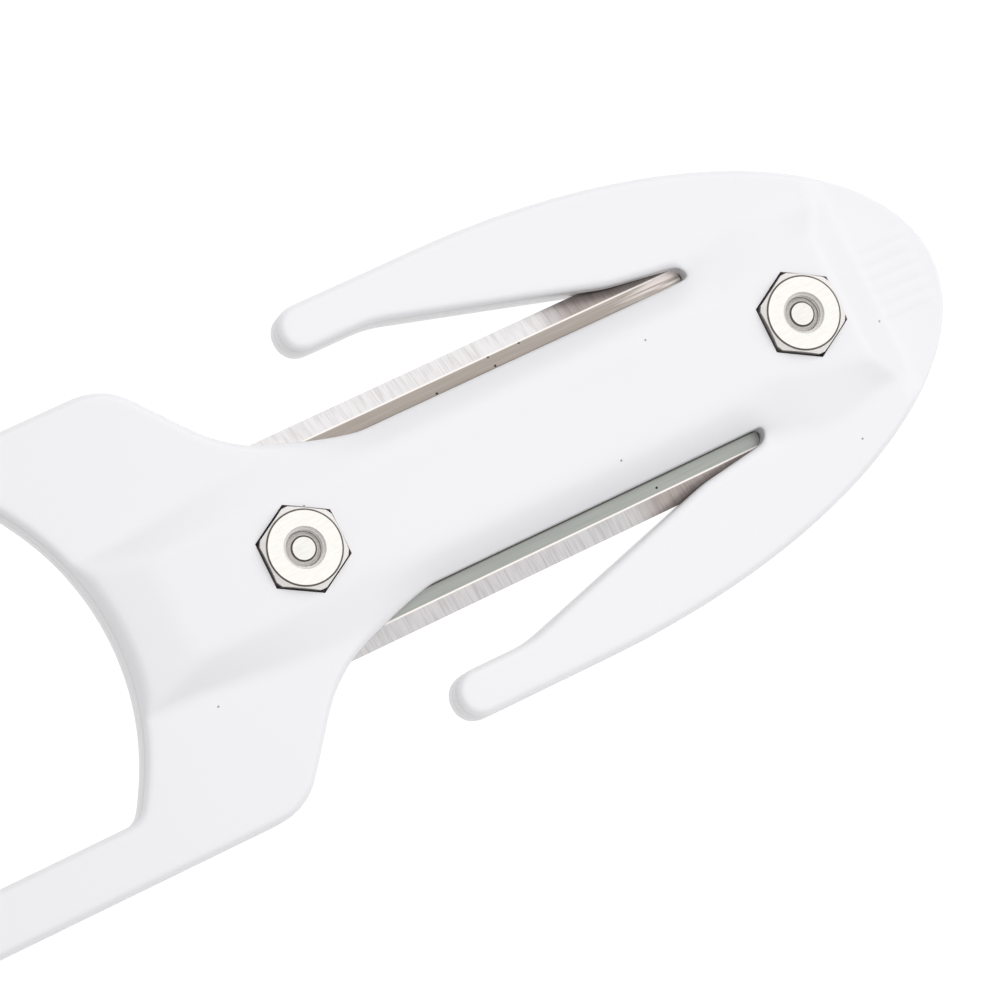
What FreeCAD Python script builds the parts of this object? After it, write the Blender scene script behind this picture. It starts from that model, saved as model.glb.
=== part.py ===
import FreeCAD, Part
import math
import os
import Sketcher
from FreeCAD import Vector

# Double-sided safety line cutter.
#
# Two white plastic half shells clamp one double-edged steel blade between them.
# Two countersunk M3 screws and two hexagon nuts hold the stack together.
# X runs from the finger loop to the nose, Y across the tool and Z up through it.
# The origin is under the middle of the tool, on the plane that it lies on.

SIZES = {
    # finger loop and tail
    "overall_length": 122.0,
    "handle_width": 31.9,
    "rail_width": 4.2,
    "tail_web": 8.5,
    "tail_round": 15.4,
    "loop_tail_round": 11.0,
    "loop_setback": 14.2,
    "loop_bulge": 7.4,
    "loop_front_round": 19.0,
    "loop_corner_round": 1.5,
    "lanyard_diameter": 4.2,
    # shoulder between the loop and the neck
    "shoulder_setback": 7.2,
    "shoulder_round": 4.5,
    "neck_width": 16.7,
    "neck_setback": 1.1,
    "neck_round": 10.0,
    "throat_width": 12.3,
    "throat_reach": 5.5,
    "throat_round": 26.0,
    "neck_reach": 14.0,
    # head and its two hooks
    "nut_spacing": 39.4,
    "nose_overhang": 11.3,
    "head_width": 31.1,
    "head_curve_length": 33.5,
    "hook_length": 45.3,
    "hook_tip_width": 3.35,
    "hook_tip_land": 6.3,
    "hook_slope_length": 16.4,
    "hook_slope_rise": 4.6,
    "hook_tip_round": 1.55,
    "hook_bend_round": 8.0,
    "mouth_end_setback": 5.8,
    "mouth_end_width": 13.6,
    "mouth_end_round": 0.7,
    # thicknesses and edges
    "plate_thickness": 3.4,
    "ridge_thickness": 5.9,
    "nose_thickness": 2.5,
    "rim_round": 0.6,
    "loop_rim_round": 1.0,
    # ridge over the blade
    "spine_width": 11.5,
    "spine_top_width": 9.4,
    "spine_wall": 0.4,
    "spine_round": 1.6,
    "ridge_flat_width": 8.0,
    "ridge_foot_width": 13.0,
    "ridge_head_width": 15.2,
    "ridge_tail_slope": 3.6,
    "ridge_tail_flat": 5.0,
    "ridge_tail_share": 0.65,
    "ridge_round_share": 0.72,
    "ridge_sink": 0.05,
    # lowered nose with its grip ribs
    "nose_crest_setback": 8.2,
    "nose_slope_length": 2.6,
    "rib_radius": 0.25,
    "rib_pitch": 1.0,
    "rib_count": 6.0,
    # blade
    "blade_width": 16.3,
    "blade_length": 50.0,
    "blade_tail": 5.2,
    "blade_thickness": 0.6,
    "blade_bevel": 1.3,
    "blade_edge": 0.06,
    "blade_corner": 2.0,
    "blade_clearance": 0.15,
    # M3 screws and nuts
    "thread_diameter": 3.0,
    "thread_pitch": 0.5,
    "thread_depth": 0.25,
    "thread_clearance": 0.06,
    "groove_mouth_share": 0.42,
    "groove_floor_share": 0.08,
    "screw_length": 6.0,
    "screw_head_diameter": 5.5,
    "screw_head_land": 0.15,
    "screw_head_sink": 0.05,
    "screw_end_diameter": 1.6,
    "screw_end_length": 0.7,
    "screw_end_chamfer": 0.42,
    "screw_hole_clearance": 0.15,
    "seat_clearance": 0.02,
    "recess_width": 0.8,
    "recess_span": 3.0,
    "recess_depth": 1.2,
    "recess_taper": 12.0,
    "nut_flats": 5.5,
    "nut_across_corners": 6.1,
    "nut_height": 2.4,
    "nut_stand_out": 0.55,
    "nut_chamfer": 0.18,
    "nut_countersink": 0.2,
    "nut_pocket_clearance": 0.1,
}

doc = FreeCAD.newDocument("LineCutter")
sheet = doc.addObject("Spreadsheet::Sheet", "Sizes")
for row, (alias, number) in enumerate(SIZES.items(), start=1):
    sheet.set(f"A{row}", alias)
    sheet.set(f"B{row}", str(number))
    sheet.setAlias(f"B{row}", alias)
doc.recompute()

# Places along the tool, from the middle of its length
NOSE = "Sizes.overall_length / 2"
FRONT_NUT = "Sizes.overall_length / 2 - Sizes.nose_overhang"
REAR_NUT = "Sizes.overall_length / 2 - Sizes.nose_overhang - Sizes.nut_spacing"
HOOK_TIP = "Sizes.overall_length / 2 - Sizes.hook_length"
MOUTH_END = f"{FRONT_NUT} - Sizes.mouth_end_setback"
# Half thicknesses, from the parting plane between the two shells
PLATE = "Sizes.plate_thickness / 2"
RIDGE = "Sizes.ridge_thickness / 2"
NUT_SEAT = f"{RIDGE} + Sizes.nut_stand_out - Sizes.nut_height"
# The rise of a screw head's cone, which slopes at 45 degrees
HEAD_SLOPE = "Sizes.screw_head_diameter / 2 - Sizes.thread_diameter / 2"
# Radii of the screw's thread and of the nut's bore, a clearance apart
MAJOR = "(Sizes.thread_diameter / 2 - Sizes.thread_clearance / 2)"
ROOT = "(Sizes.thread_diameter / 2 - Sizes.thread_depth - Sizes.thread_clearance / 2)"
BORE = "(Sizes.thread_diameter / 2 - Sizes.thread_depth + Sizes.thread_clearance / 2)"
OUTER = "(Sizes.thread_diameter / 2 + Sizes.thread_clearance / 2)"
# Levels of the screw's two ends, and of its first groove
SCREW_FACE = f"(Sizes.screw_head_sink - {RIDGE})"
SCREW_END = f"({SCREW_FACE} + Sizes.screw_length)"
FIRST_GROOVE = f"({NUT_SEAT} - Sizes.thread_pitch)"

# The size of a new sketch outline, before its constraints place it
START_RADIUS = 10
START_MIDDLE = 20
START_LENGTH = 30
START_WIDTH = 15
# The turn that points a hexagon's flats along the tool, in degrees
HEXAGON_TURN = 30
# The shortest edge that counts as running along the tool
LONG_EDGE = 1


def body(name):
    """A new empty body."""
    return doc.addObject("PartDesign::Body", name)


def sketch(owner, name, plane="XY_Plane", height=None):
    """A sketch on one of the body's own origin planes, at a height above it."""
    result = owner.newObject("Sketcher::SketchObject", name)
    support = next(f for f in owner.Origin.OriginFeatures if f.Role == plane)
    result.AttachmentSupport = [(support, "")]
    result.MapMode = "FlatFace"
    if height is not None:
        result.setExpression("AttachmentOffset.Base.z", height)
    return result


def add_polygon(target, corners):
    """A closed polygon, each corner bound to its two expressions."""
    count = len(corners)
    angles = [-2 * math.pi * i / count for i in range(count)]
    start = [START_RADIUS * Vector(math.cos(angle), math.sin(angle), 0) for angle in angles]
    lines = [Part.LineSegment(start[i], start[(i + 1) % count]) for i in range(count)]
    target.addGeometry(lines, False)
    for i in range(count):
        target.addConstraint(Sketcher.Constraint("Coincident", i, 2, (i + 1) % count, 1))
    for i, corner in enumerate(corners):
        for kind, expression in zip(("DistanceX", "DistanceY"), corner):
            place = start[i].x if kind == "DistanceX" else start[i].y
            number = target.addConstraint(Sketcher.Constraint(kind, -1, 1, i, 1, place))
            target.renameConstraint(number, f"{kind}{i}")
            target.setExpression(f"Constraints.{kind}{i}", expression)
    doc.recompute()
    return target


def mirrored(half):
    """A half outline and its reflection across the tool's long axis."""
    return half + [(along, f"-({across})") for along, across in reversed(half)]


def pad(owner, name, profile, length, **settings):
    """A pad whose length is bound to the sheet."""
    result = owner.newObject("PartDesign::Pad", name)
    result.Profile = profile
    result.setExpression("Length", length)
    for setting, value in settings.items():
        setattr(result, setting, value)
    profile.Visibility = False
    doc.recompute()
    return result


def pocket_through(owner, name, profile):
    """A pocket through everything, on both sides of its sketch."""
    result = owner.newObject("PartDesign::Pocket", name)
    result.Profile = profile
    result.Type = "ThroughAll"
    result.Midplane = True
    doc.recompute()
    return result


def round_edges(owner, name, radius, chosen):
    """A fillet on every edge of the body that the test picks."""
    base = owner.Tip
    edges = [f"Edge{i}" for i, edge in enumerate(base.Shape.Edges, start=1) if chosen(edge)]
    result = owner.newObject("PartDesign::Fillet", name)
    result.Base = (base, edges)
    result.setExpression("Radius", radius)
    doc.recompute()
    return result


def upright_at(profile, numbers):
    """A test for the upright edges over the numbered corners of a sketch."""
    places = [profile.getPoint(number, 1) for number in numbers]

    def test(edge):
        ends = [vertex.Point for vertex in edge.Vertexes]
        if len(ends) != 2 or abs(ends[0].z - ends[1].z) < 1e-3:
            return False
        return any(math.dist(end[:2], place[:2]) < 1e-4
                   for place in places for end in ends[:1])
    return test


def rim(height):
    """A test for the edges that lie at a height."""
    def test(edge):
        return all(abs(vertex.Point.z - height) < 1e-4 for vertex in edge.Vertexes)
    return test


def inner_rim(height, reach, front):
    """A test for the edges at a height that lie inside a half width, behind a place."""
    def test(edge):
        box = edge.BoundBox
        across = max(abs(box.YMin), abs(box.YMax))
        return rim(height)(edge) and across < reach and box.XMax < front
    return test


def primitive(kind, name, **bindings):
    """A Part primitive with its properties bound to expressions."""
    result = doc.addObject(kind, name)
    for key, expression in bindings.items():
        result.setExpression(key.replace("_", "."), expression)
    return result


def move(item, along="0", across="0", up="0"):
    """Binds the place of an object."""
    for axis, expression in zip("xyz", (along, across, up)):
        item.setExpression(f"Placement.Base.{axis}", expression)
    return item


def boolean(kind, name, parts):
    """A fusion or an intersection of several objects."""
    result = doc.addObject(kind, name)
    result.Shapes = parts
    result.Refine = True
    doc.recompute()
    return result


def cut(name, base, tools):
    """A base without its tools."""
    result = doc.addObject("Part::Cut", name)
    result.Base = base
    result.Tool = tools[0] if len(tools) == 1 else boolean("Part::MultiFuse", f"{name}Tools", tools)
    result.Refine = True
    doc.recompute()
    return result


def finger_loop():
    """The tail, the rails and the shoulder, around the opening for the finger."""
    handle = body("FingerLoop")
    outline = sketch(handle, "LoopOutline")
    add_polygon(outline, mirrored([
        ("-(Sizes.overall_length / 2)", "Sizes.handle_width / 2"),
        (f"{REAR_NUT} - Sizes.shoulder_setback", "Sizes.handle_width / 2"),
        (f"{REAR_NUT} - Sizes.neck_setback", "Sizes.neck_width / 2"),
        (f"{REAR_NUT} + Sizes.throat_reach", "Sizes.throat_width / 2"),
        (f"{REAR_NUT} + Sizes.neck_reach", "Sizes.spine_top_width / 2 - Sizes.rim_round / 2"),
    ]))
    pad(handle, "LoopPlate", outline, PLATE)
    round_edges(handle, "TailCorners", "Sizes.tail_round", upright_at(outline, [0, 9]))
    round_edges(handle, "ShoulderCorners", "Sizes.shoulder_round", upright_at(outline, [1, 8]))
    round_edges(handle, "NeckCorners", "Sizes.neck_round", upright_at(outline, [2, 7]))
    round_edges(handle, "ThroatCorners", "Sizes.throat_round", upright_at(outline, [3, 6]))
    opening = sketch(handle, "OpeningOutline")
    half_gap = "Sizes.handle_width / 2 - Sizes.rail_width"
    front = f"{REAR_NUT} - Sizes.loop_setback"
    add_polygon(opening, [
        ("-(Sizes.overall_length / 2) + Sizes.tail_web", half_gap),
        (f"{front} - Sizes.loop_bulge / 2", half_gap),
        (f"{front} + Sizes.loop_bulge / 2", "0"),
        (f"{front} - Sizes.loop_bulge / 2", f"-({half_gap})"),
        ("-(Sizes.overall_length / 2) + Sizes.tail_web", f"-({half_gap})"),
    ])
    pocket_through(handle, "Opening", opening)
    round_edges(handle, "OpeningTail", "Sizes.loop_tail_round", upright_at(opening, [0, 4]))
    round_edges(handle, "OpeningCorners", "Sizes.loop_corner_round", upright_at(opening, [1, 3]))
    round_edges(handle, "OpeningFront", "Sizes.loop_front_round", upright_at(opening, [2]))
    top = SIZES["plate_thickness"] / 2
    reach = SIZES["handle_width"] / 2 - SIZES["rail_width"] / 2
    rear_nut = SIZES["overall_length"] / 2 - SIZES["nose_overhang"] - SIZES["nut_spacing"]
    behind = rear_nut - (SIZES["loop_setback"] - SIZES["loop_bulge"]) / 2
    round_edges(handle, "LoopRim", "Sizes.loop_rim_round", inner_rim(top, reach, behind))
    round_edges(handle, "HandleRim", "Sizes.rim_round", rim(top))
    return handle


def head():
    """The rounded head with its two hooks, which point back at the handle."""
    crescent = body("Head")
    curve = sketch(crescent, "HeadCurve")
    add_ellipse(curve, f"{NOSE} - Sizes.head_curve_length", "Sizes.head_curve_length",
                "Sizes.head_width / 2")
    pad(crescent, "HeadDisc", curve, PLATE)
    flanks = sketch(crescent, "FlankOutline")
    add_polygon(flanks, mirrored([
        (HOOK_TIP, "Sizes.head_width / 2"),
        (f"{NOSE} - Sizes.head_curve_length", "Sizes.head_width / 2"),
    ]))
    pad(crescent, "HeadFlanks", flanks, PLATE)
    mouths = sketch(crescent, "MouthOutline")
    beyond = f"{NOSE} - 2 * Sizes.head_curve_length - Sizes.hook_tip_width"
    inner = "Sizes.head_width / 2 - Sizes.hook_tip_width"
    land = f"{HOOK_TIP} + Sizes.hook_tip_land"
    add_polygon(mouths, mirrored([
        (beyond, "Sizes.head_width"),
        (HOOK_TIP, "Sizes.head_width"),
        (HOOK_TIP, inner),
        (land, inner),
        (f"{land} + Sizes.hook_slope_length", f"{inner} - Sizes.hook_slope_rise"),
        (MOUTH_END, "Sizes.mouth_end_width / 2"),
    ]))
    pocket_through(crescent, "Mouths", mouths)
    round_edges(crescent, "MouthEnds", "Sizes.mouth_end_round", upright_at(mouths, [5, 6]))
    round_edges(crescent, "HookBends", "Sizes.hook_bend_round", upright_at(mouths, [3, 4, 7, 8]))
    tips = upright_at(mouths, [2, 9])
    outer_tips = upright_at(flanks, [0, 3])
    round_edges(crescent, "HookTips", "Sizes.hook_tip_round",
                lambda edge: tips(edge) or outer_tips(edge))
    round_edges(crescent, "HeadRim", "Sizes.rim_round", rim(SIZES["plate_thickness"] / 2))
    return crescent


def add_ellipse(target, middle, length, width):
    """An ellipse on the long axis, from its middle and its two half lengths."""
    start = Part.Ellipse(Vector(START_MIDDLE, 0, 0), START_LENGTH, START_WIDTH)
    target.addGeometry(start, False)
    target.exposeInternalGeometry(0)
    for name, kind, geometry, point, place, expression in (
        ("Middle", "DistanceX", 0, 3, START_MIDDLE, middle),
        ("Level", "DistanceY", 0, 3, 0, "0"),
        ("End", "DistanceX", 1, 1, START_MIDDLE + START_LENGTH, f"{middle} + {length}"),
        ("EndLevel", "DistanceY", 1, 1, 0, "0"),
        ("Side", "DistanceY", 2, 1, START_WIDTH, width),
    ):
        number = target.addConstraint(Sketcher.Constraint(kind, -1, 1, geometry, point, place))
        target.renameConstraint(number, name)
        target.setExpression(f"Constraints.{name}", expression)
    doc.recompute()


def spine():
    """The bar over the blade between the two mouths, with rounded shoulders."""
    bar = body("Spine")
    section = sketch(bar, "SpineSection", "YZ_Plane", f"{REAR_NUT}")
    add_polygon(section, [
        ("-(Sizes.spine_width / 2)", "0"),
        ("Sizes.spine_width / 2", "0"),
        ("Sizes.spine_width / 2", "Sizes.spine_wall"),
        ("Sizes.spine_top_width / 2", RIDGE),
        ("-(Sizes.spine_top_width / 2)", RIDGE),
        ("-(Sizes.spine_width / 2)", "Sizes.spine_wall"),
    ])
    pad(bar, "SpineBar", section, "Sizes.nut_spacing")
    top = SIZES["ridge_thickness"] / 2
    round_edges(bar, "SpineRound", "Sizes.spine_round",
                lambda edge: rim(top)(edge) and edge.BoundBox.XLength > LONG_EDGE)
    return bar


def loft(owner, name, lower, upper):
    """A straight-sided loft between two sketches."""
    result = owner.newObject("PartDesign::AdditiveLoft", name)
    result.Profile = lower
    result.Sections = [(upper, [""])]
    result.Ruled = True
    doc.recompute()
    return result


def ridge(name, foot, flat):
    """A raised flat with sloping flanks, from its foot on the plate to its top."""
    raised = body(name)
    lower = sketch(raised, f"{name}Foot", height=f"{PLATE} - Sizes.ridge_sink")
    add_polygon(lower, mirrored(foot))
    upper = sketch(raised, f"{name}Flat", height=RIDGE)
    add_polygon(upper, mirrored(flat))
    loft(raised, f"{name}Loft", lower, upper)
    return raised


def shoulder_ridge():
    """The ridge between the finger loop and the neck."""
    foot, flat = "Sizes.ridge_foot_width / 2", "Sizes.ridge_flat_width / 2"
    edge = "Sizes.spine_top_width / 2"
    tail = f"{REAR_NUT} - Sizes.loop_setback + Sizes.loop_rim_round"
    neck = f"{REAR_NUT} + Sizes.neck_reach - Sizes.rim_round"
    raised = ridge("ShoulderRidge", [
        (tail, f"{foot} * Sizes.ridge_tail_share"),
        (f"{tail} + Sizes.ridge_tail_slope", foot),
        (REAR_NUT, foot),
        (neck, edge),
    ], [
        (f"{tail} + Sizes.ridge_tail_slope", f"{flat} * Sizes.ridge_tail_share"),
        (f"{tail} + Sizes.ridge_tail_flat", flat),
        (REAR_NUT, flat),
        (neck, flat),
    ])
    round_edges(raised, "ShoulderRidgeRound", f"({RIDGE} - {PLATE}) * Sizes.ridge_round_share",
                rim(SIZES["ridge_thickness"] / 2))
    return raised


def head_ridge():
    """The ridge that carries the front nut, wider towards the nose."""
    foot, flat = "Sizes.ridge_foot_width / 2", "Sizes.ridge_flat_width / 2"
    start = f"{MOUTH_END} + Sizes.rim_round"
    front = f"{NOSE} - Sizes.nose_crest_setback + Sizes.nose_slope_length"
    return ridge("HeadRidge", [
        (start, "Sizes.spine_top_width / 2"),
        (f"{start} + Sizes.rim_round", foot),
        (FRONT_NUT, "Sizes.ridge_head_width / 2"),
        (front, "Sizes.ridge_head_width / 2"),
    ], [
        (start, flat),
        (f"{start} + Sizes.rim_round", flat),
        (FRONT_NUT, flat),
        (front, flat),
    ])


def nose_waste():
    """What is taken off above the lowered nose, with its sloping back."""
    waste = body("NoseWaste")
    profile = sketch(waste, "NoseProfile", "XZ_Plane")
    crest = f"{NOSE} - Sizes.nose_crest_setback"
    floor = "Sizes.nose_thickness / 2"
    add_polygon(profile, [
        (crest, RIDGE),
        (f"{crest} + Sizes.nose_slope_length", floor),
        (f"{NOSE} + Sizes.rail_width", floor),
        (f"{NOSE} + Sizes.rail_width", f"{RIDGE} * 2"),
        (crest, f"{RIDGE} * 2"),
    ])
    pad(waste, "NoseCut", profile, "2 * Sizes.head_width", Midplane=True)
    return waste


def grip_ribs():
    """Fine round ribs along the top of the nose."""
    start = f"{NOSE} - Sizes.nose_crest_setback + Sizes.nose_slope_length"
    ribs = []
    for number in range(int(SIZES["rib_count"])):
        rib = primitive("Part::Cylinder", f"Rib{number + 1}", Radius="Sizes.rib_radius",
                        Height="Sizes.nose_crest_setback - Sizes.nose_slope_length"
                               " - Sizes.rim_round * 2")
        rib.Placement.Rotation = FreeCAD.Rotation(Vector(0, 1, 0), 90)
        move(rib, start, f"({number} - (Sizes.rib_count - 1) / 2) * Sizes.rib_pitch",
             "Sizes.nose_thickness / 2")
        ribs.append(rib)
    return ribs


def shell_blank():
    """One half shell before its holes: its parting face lies on the XY plane."""
    forms = boolean("Part::MultiFuse", "ShellForms",
                    [finger_loop(), head(), spine(), shoulder_ridge(), head_ridge()])
    lowered = cut("LoweredNose", forms, [nose_waste()])
    return boolean("Part::MultiFuse", "ShellBlank", [lowered] + grip_ribs())


def nut_pocket(name, along):
    """The hexagon pocket for a nut, open at the top of the ridge."""
    pocket = primitive("Part::Prism", name, Height="Sizes.ridge_thickness",
                       Circumradius=across_corners("Sizes.nut_pocket_clearance"))
    pocket.Polygon = 6
    pocket.Placement.Rotation = FreeCAD.Rotation(Vector(0, 0, 1), HEXAGON_TURN)
    return move(pocket, along, "0", NUT_SEAT)


def across_corners(clearance="0"):
    """The distance from the middle of a hexagon to its corners."""
    return f"(Sizes.nut_flats / 2 + {clearance}) / {math.cos(math.pi / 6):.9f}"


def screw_hole(name, along):
    """The clearance hole for a screw, through a whole stack."""
    hole = primitive("Part::Cylinder", name, Height="4 * Sizes.ridge_thickness",
                     Radius="Sizes.thread_diameter / 2 + Sizes.screw_hole_clearance")
    return move(hole, along, "0", "-2 * Sizes.ridge_thickness")


def blade_pocket(name):
    """The shallow pocket that holds half the thickness of the blade."""
    pocket = primitive("Part::Box", name,
                       Length="Sizes.blade_length + 2 * Sizes.blade_clearance",
                       Width="Sizes.blade_width + 2 * Sizes.blade_clearance",
                       Height="Sizes.blade_thickness")
    return move(pocket, f"{REAR_NUT} - Sizes.blade_tail - Sizes.blade_clearance",
                "-(Sizes.blade_width / 2) - Sizes.blade_clearance",
                "-(Sizes.blade_thickness / 2)")


def lanyard_hole(name):
    """The hole for a lanyard in the web of the tail."""
    hole = primitive("Part::Cylinder", name, Radius="Sizes.lanyard_diameter / 2",
                     Height="4 * Sizes.plate_thickness")
    return move(hole, "-(Sizes.overall_length / 2) + Sizes.tail_web / 2", "0",
                "-2 * Sizes.plate_thickness")


def screw_sink(name, along):
    """The countersink for a screw head, in the face that the tool lies on."""
    depth = f"Sizes.screw_head_sink + Sizes.screw_head_land + {HEAD_SLOPE}"
    cone = primitive("Part::Cone", name, Height=f"{depth} + Sizes.seat_clearance",
                     Radius1=f"Sizes.thread_diameter / 2 + {depth} + Sizes.seat_clearance",
                     Radius2="Sizes.thread_diameter / 2")
    return move(cone, along, "0", f"-({RIDGE})")


def shells():
    """The nut side shell and the screw side shell, mirror images but for their holes."""
    blank = shell_blank()
    nut_side = cut("nut_side_shell", blank, [
        nut_pocket("FrontNutPocket", FRONT_NUT), nut_pocket("RearNutPocket", REAR_NUT),
        screw_hole("FrontNutHole", FRONT_NUT), screw_hole("RearNutHole", REAR_NUT),
        blade_pocket("NutSideBladePocket"), lanyard_hole("NutSideLanyardHole"),
    ])
    reflection = doc.addObject("Part::Mirroring", "ShellReflection")
    reflection.Source = blank
    reflection.Normal = Vector(0, 0, 1)
    screw_side = cut("screw_side_shell", reflection, [
        screw_sink("FrontScrewSink", FRONT_NUT), screw_sink("RearScrewSink", REAR_NUT),
        screw_hole("FrontScrewHole", FRONT_NUT), screw_hole("RearScrewHole", REAR_NUT),
        blade_pocket("ScrewSideBladePocket"), lanyard_hole("ScrewSideLanyardHole"),
    ])
    return [nut_side, screw_side]


def blade():
    """The steel blade: a flat bar ground from both faces along both edges."""
    side, face = "Sizes.blade_width / 2", "Sizes.blade_thickness / 2"
    start = f"{REAR_NUT} - Sizes.blade_tail"
    plate = body("BladePlate")
    outline = sketch(plate, "BladeOutline")
    add_polygon(outline, mirrored([
        (start, f"{side} - Sizes.blade_corner"),
        (f"{start} + Sizes.blade_corner", side),
        (f"{start} + Sizes.blade_length - Sizes.blade_corner", side),
        (f"{start} + Sizes.blade_length", f"{side} - Sizes.blade_corner"),
    ]))
    pad(plate, "BladePad", outline, "Sizes.blade_thickness", Midplane=True)
    grind = body("BladeGrind")
    section = sketch(grind, "BladeSection", "YZ_Plane", start)
    upper = [(f"-({side})", "Sizes.blade_edge / 2"), (f"-({side} - Sizes.blade_bevel)", face),
             (f"{side} - Sizes.blade_bevel", face), (side, "Sizes.blade_edge / 2")]
    add_polygon(section, upper + [(across, f"-({up})") for across, up in reversed(upper)])
    pad(grind, "GrindPad", section, "Sizes.blade_length")
    ground = boolean("Part::MultiCommon", "GroundBlade", [plate, grind])
    return cut("blade", ground, [screw_hole("FrontBladeHole", FRONT_NUT),
                                 screw_hole("RearBladeHole", REAR_NUT)])


def turned(owner, name, outline):
    """A full turn of a profile about the Z axis; the profile's X is its radius."""
    profile = sketch(owner, f"{name}Profile", "XZ_Plane")
    add_polygon(profile, outline)
    result = owner.newObject("PartDesign::Revolution", name)
    result.Profile = profile
    result.ReferenceAxis = (profile, ["V_Axis"])
    doc.recompute()
    return result


def thread_grooves(owner, name, outline, count):
    """V grooves one pitch apart, a screw thread without its lead."""
    profile = sketch(owner, f"{name}Profile", "XZ_Plane")
    add_polygon(profile, outline)
    groove = owner.newObject("PartDesign::Groove", name)
    groove.Profile = profile
    groove.ReferenceAxis = (profile, ["V_Axis"])
    doc.recompute()
    rows = owner.newObject("PartDesign::LinearPattern", f"{name}Rows")
    rows.Originals = [groove]
    axis = next(f for f in owner.Origin.OriginFeatures if f.Role == "Z_Axis")
    rows.Direction = (axis, [""])
    rows.Occurrences = count
    rows.setExpression("Length", f"{count - 1} * Sizes.thread_pitch")
    owner.Tip = rows
    doc.recompute()


def groove_outline(mouth, floor, level):
    """One V groove between two radii, centred on a level."""
    wide = "Sizes.thread_pitch * Sizes.groove_mouth_share"
    narrow = "Sizes.thread_pitch * Sizes.groove_floor_share"
    return [
        (mouth, f"{level} - {wide}"),
        (floor, f"{level} - {narrow}"),
        (floor, f"{level} + {narrow}"),
        (mouth, f"{level} + {wide}"),
    ]


def cross_recess(shank, label):
    """A tapered cross recess in the face of the screw's head."""
    outline = sketch(shank, f"{label}_cross", height=SCREW_FACE)
    near, far = "Sizes.recess_width / 2", "Sizes.recess_span / 2"
    quarter = [(far, near), (near, near), (near, far)]
    across = [(f"-({x})", y) for x, y in reversed(quarter)]
    upper = quarter + across
    add_polygon(outline, upper + [(x, f"-({y})") for x, y in reversed(upper)])
    recess = shank.newObject("PartDesign::Pocket", f"{label}_recess")
    recess.Profile = outline
    recess.setExpression("Length", "Sizes.recess_depth")
    recess.Reversed = True
    recess.TaperAngle = -SIZES["recess_taper"]
    doc.recompute()


def screw(label, along):
    """A countersunk M3 screw, its head down and its levels from the parting plane."""
    shank = body(label)
    rim_radius = "Sizes.screw_head_diameter / 2"
    land = f"{SCREW_FACE} + Sizes.screw_head_land"
    turned(shank, f"{label}_blank", [
        ("0", SCREW_FACE),
        (rim_radius, SCREW_FACE),
        (rim_radius, land),
        (MAJOR, f"{land} + {rim_radius} - {MAJOR}"),
        (MAJOR, f"{SCREW_END} - Sizes.screw_end_length"),
        (ROOT, f"{SCREW_END} - Sizes.screw_end_length + {MAJOR} - {ROOT}"),
        (ROOT, f"{SCREW_END} - Sizes.screw_end_chamfer"),
        ("Sizes.screw_end_diameter / 2", SCREW_END),
        ("0", SCREW_END),
    ])
    cross_recess(shank, label)
    threaded = (SIZES["screw_length"] + SIZES["screw_head_sink"] - SIZES["screw_end_length"]
                - SIZES["ridge_thickness"] - SIZES["nut_stand_out"] + SIZES["nut_height"])
    count = 2 + math.ceil(threaded / SIZES["thread_pitch"])
    thread_grooves(shank, f"{label}_thread",
                   groove_outline("Sizes.thread_diameter / 2", ROOT, FIRST_GROOVE), count)
    return move(shank, along, "0", RIDGE)


def nut(label, along):
    """A hexagon nut, chamfered on both faces, at its level above the parting plane."""
    ring = body(f"{label}_turned")
    face = "Sizes.nut_flats / 2 - Sizes.nut_chamfer"
    edge = "Sizes.nut_across_corners / 2"
    fall = f"({edge} - ({face})) * {math.tan(math.pi / 6):.9f}"
    top = f"({NUT_SEAT} + Sizes.nut_height)"
    wide = f"{BORE} + Sizes.nut_countersink"
    turned(ring, f"{label}_blank", [
        (wide, NUT_SEAT),
        (face, NUT_SEAT),
        (edge, f"{NUT_SEAT} + {fall}"),
        (edge, f"{top} - {fall}"),
        (face, top),
        (wide, top),
        (BORE, f"{top} - Sizes.nut_countersink"),
        (BORE, f"{NUT_SEAT} + Sizes.nut_countersink"),
    ])
    count = round(SIZES["nut_height"] / SIZES["thread_pitch"])
    inner = "Sizes.thread_diameter / 2 - Sizes.thread_depth"
    thread_grooves(ring, f"{label}_thread",
                   groove_outline(inner, OUTER, f"({NUT_SEAT} + Sizes.thread_pitch / 2)"), count)
    hexagon = primitive("Part::Prism", f"{label}_hexagon", Circumradius=across_corners(),
                        Height="Sizes.nut_height")
    hexagon.Polygon = 6
    hexagon.Placement.Rotation = FreeCAD.Rotation(Vector(0, 0, 1), HEXAGON_TURN)
    move(hexagon, "0", "0", NUT_SEAT)
    return move(boolean("Part::MultiCommon", label, [ring, hexagon]), along, "0", RIDGE)


def build():
    """Every sub-part, in its place."""
    stack = [move(part, "0", "0", RIDGE) for part in shells() + [blade()]]
    for end, along in (("front", FRONT_NUT), ("rear", REAR_NUT)):
        stack.append(screw(f"screw_{end}", along))
        stack.append(nut(f"nut_{end}", along))
    doc.recompute()
    return stack


def check(parts):
    """Stops if an object failed or a sub-part has no sound shape."""
    for item in doc.Objects:
        if "Invalid" in item.State or "Error" in item.State:
            raise RuntimeError(f"{item.Label} failed: {item.State}")
    for part in parts:
        if part.Shape.isNull() or not part.Shape.isValid():
            raise RuntimeError(f"{part.Label} has no valid shape")


sub_parts = build()
check(sub_parts)
os.makedirs("parts", exist_ok=True)
for sub_part in sub_parts:
    sub_part.Shape.exportStep(f"parts/{sub_part.Label}.step")
    print(sub_part.Label, round(sub_part.Shape.Volume, 3), len(sub_part.Shape.Solids))
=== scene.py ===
"""A white safety line cutter on a pale floor, in soft studio light."""
import math

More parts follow.
